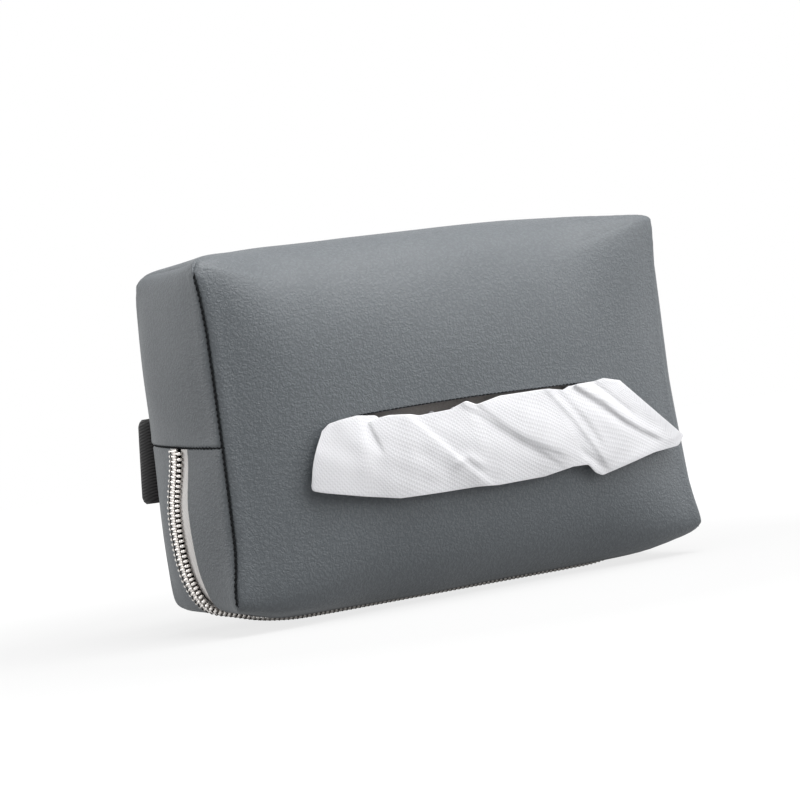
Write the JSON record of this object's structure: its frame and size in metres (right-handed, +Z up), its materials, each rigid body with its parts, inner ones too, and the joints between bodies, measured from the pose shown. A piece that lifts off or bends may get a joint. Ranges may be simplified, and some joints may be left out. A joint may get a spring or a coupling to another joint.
{
  "type": "car tissue holder",
  "caption": "Soft boxed leather pouch for a refill of facial tissues, with a front slot, a zip round its bottom and a buckled strap behind.",
  "frame": {"origin": "on the surface that the pouch stands on, under the middle of the whole holder's box", "axes": "+X along the length, with the zip's slider at its end; +Y from the slot's side to the strap's side; +Z up"},
  "size_m": [0.202, 0.0997, 0.1324],
  "materials": {
    "leather": "pebbled satin",
    "facing": "woven",
    "zip_tape": "woven",
    "zip_teeth": "metallised",
    "slider_metal": "polished",
    "binding": "woven",
    "tissue": "embossed",
    "webbing": "woven",
    "buckle_plastic": "moulded"
  },
  "bodies": {
    "pouch": {"outer_cover": "leather", "slot_facing": "facing", "zipper_tape_front": "zip_tape", "zipper_tape_back": "zip_tape", "zipper_teeth_front": "zip_teeth", "zipper_teeth_back": "zip_teeth", "binding_front_left": "binding", "binding_front_right": "binding", "binding_back_left": "binding", "binding_back_right": "binding", "binding_end_left": "binding", "binding_end_right": "binding", "tissue_stack": "tissue", "strap_socket_side": "webbing", "strap_plug_side": "webbing", "strap_patch": "leather", "buckle_socket": "buckle_plastic", "buckle_plug": "buckle_plastic"},
    "zip_slider": {"zipper_slider": "slider_metal"},
    "zip_pull": {"zipper_pull": "slider_metal"},
    "arm_upper": {"buckle_arm_upper": "buckle_plastic"},
    "arm_lower": {"buckle_arm_lower": "buckle_plastic"},
    "keeper": {"strap_keeper": "webbing"},
    "tissue": {"tissue_sheet": "tissue"}
  },
  "joints": [
    {"name": "slider_slide", "type": "slide", "parent": "pouch", "child": "zip_slider", "axis": [0, 0, -1], "range_m": [0, 0.016], "deforming": ["zipper_teeth_front", "zipper_teeth_back"]},
    {"name": "pull_swing", "type": "hinge", "parent": "zip_slider", "child": "zip_pull", "pos_m": [0.0989, -0.0076, 0.0581], "axis": [0, -1, 0], "range_deg": [0, 150]},
    {"name": "arm_upper_press", "type": "hinge", "parent": "pouch", "child": "arm_upper", "pos_m": [0.0001, 0.04465, 0.0699], "axis": [0, -1, 0], "range_deg": [0, 7], "stiffness_Nm_per_rad": 0.4},
    {"name": "arm_lower_press", "type": "hinge", "parent": "pouch", "child": "arm_lower", "pos_m": [0.0001, 0.04465, 0.0495], "axis": [0, 1, 0], "range_deg": [0, 7], "stiffness_Nm_per_rad": 0.4},
    {"name": "tissue_pull", "type": "slide", "parent": "pouch", "child": "tissue", "axis": [0, -1, 0], "range_m": [0, 0.02]},
    {"name": "keeper_slide", "type": "slide", "parent": "pouch", "child": "keeper", "axis": [1, 0, 0], "range_m": [-0.012, 0.009]}
  ]
}
